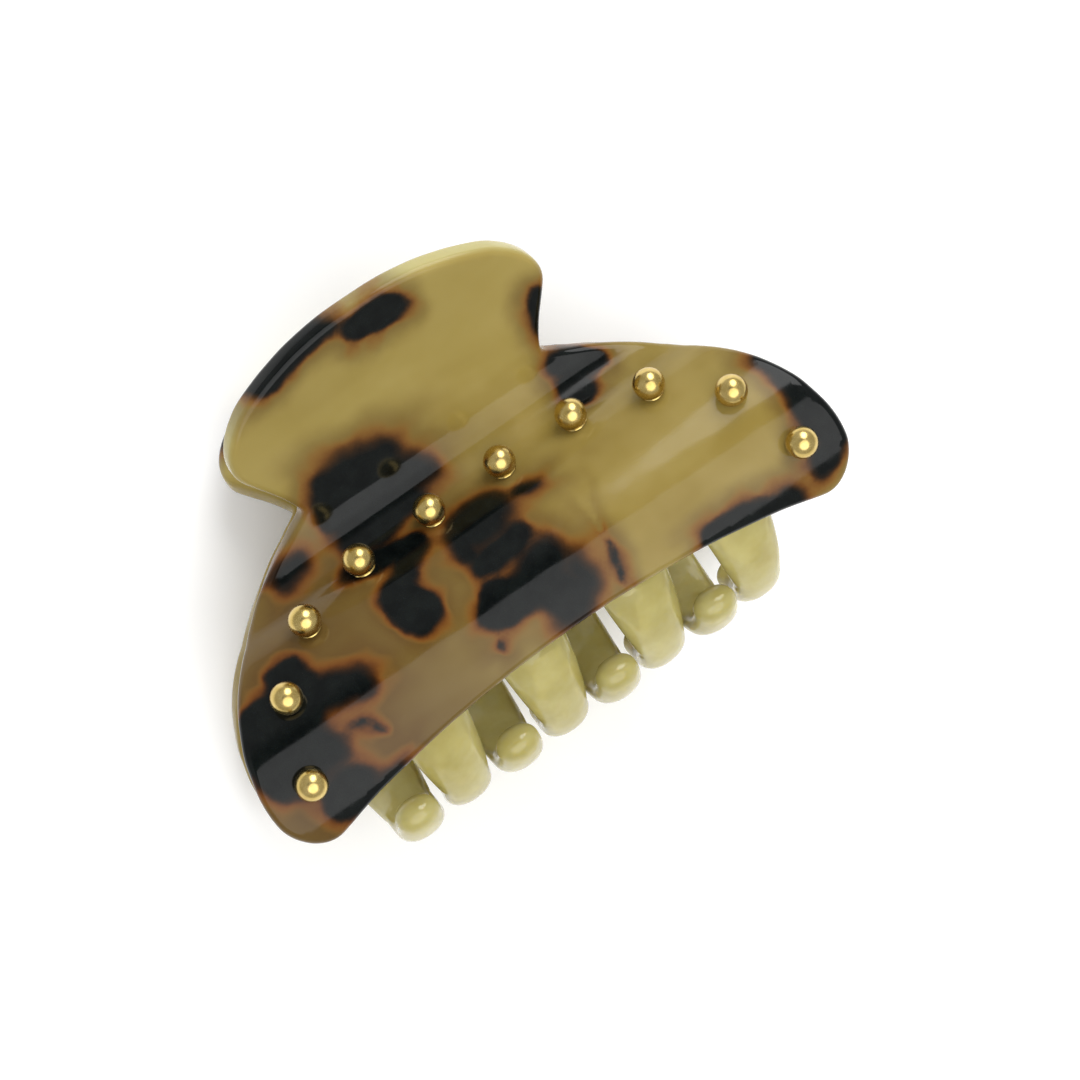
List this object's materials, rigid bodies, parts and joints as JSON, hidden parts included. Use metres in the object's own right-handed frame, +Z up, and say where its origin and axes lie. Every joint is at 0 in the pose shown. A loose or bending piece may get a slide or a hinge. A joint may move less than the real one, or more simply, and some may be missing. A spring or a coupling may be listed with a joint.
{
  "type": "hair claw clip",
  "caption": "Wide sprung hair claw: two bent tortoiseshell jaws with thumb tabs, interlocking curved comb teeth and an arch of gold ball studs.",
  "frame": {"origin": "centre of the closed clip's bounding box in X and Y, on the surface it lies on: the back jaw's studs and tab are underneath, the front jaw is on top", "axes": "+X along the hinge and the clip's length, +Y from the teeth toward the thumb tabs, +Z up out of the front jaw"},
  "size_m": [0.085, 0.0613, 0.0429],
  "materials": {
    "tortoiseshell": "polished cellulose acetate sheet, honey base with near-black and amber clouded patches",
    "pale_acetate": "polished translucent pale yellow-green acetate",
    "gold_stud": "polished gold-plated brass",
    "hinge_steel": "plain bright steel wire and rod"
  },
  "bodies": {
    "back_jaw": {"back_shell": "tortoiseshell", "back_comb": "pale_acetate", "back_lug_left": "tortoiseshell", "back_lug_right": "tortoiseshell", "hinge_pin": "hinge_steel", "torsion_spring": "hinge_steel", "back_stud_1": "gold_stud", "back_stud_2": "gold_stud", "back_stud_3": "gold_stud", "back_stud_4": "gold_stud", "back_stud_5": "gold_stud", "back_stud_6": "gold_stud", "back_stud_7": "gold_stud", "back_stud_8": "gold_stud", "back_stud_9": "gold_stud", "back_stud_10": "gold_stud"},
    "front_jaw": {"front_shell": "tortoiseshell", "front_comb": "pale_acetate", "front_lug_left": "tortoiseshell", "front_lug_right": "tortoiseshell", "front_stud_1": "gold_stud", "front_stud_2": "gold_stud", "front_stud_3": "gold_stud", "front_stud_4": "gold_stud", "front_stud_5": "gold_stud", "front_stud_6": "gold_stud", "front_stud_7": "gold_stud", "front_stud_8": "gold_stud", "front_stud_9": "gold_stud", "front_stud_10": "gold_stud"}
  },
  "joints": [
    {"name": "hinge", "type": "hinge", "parent": "back_jaw", "child": "front_jaw", "pos_m": [0, 0.00719, 0.02144], "axis": [-1, 0, 0], "range_deg": [0, 66], "stiffness_Nm_per_rad": 0.14, "springref_deg": -24.64, "deforming": ["torsion_spring"]}
  ]
}
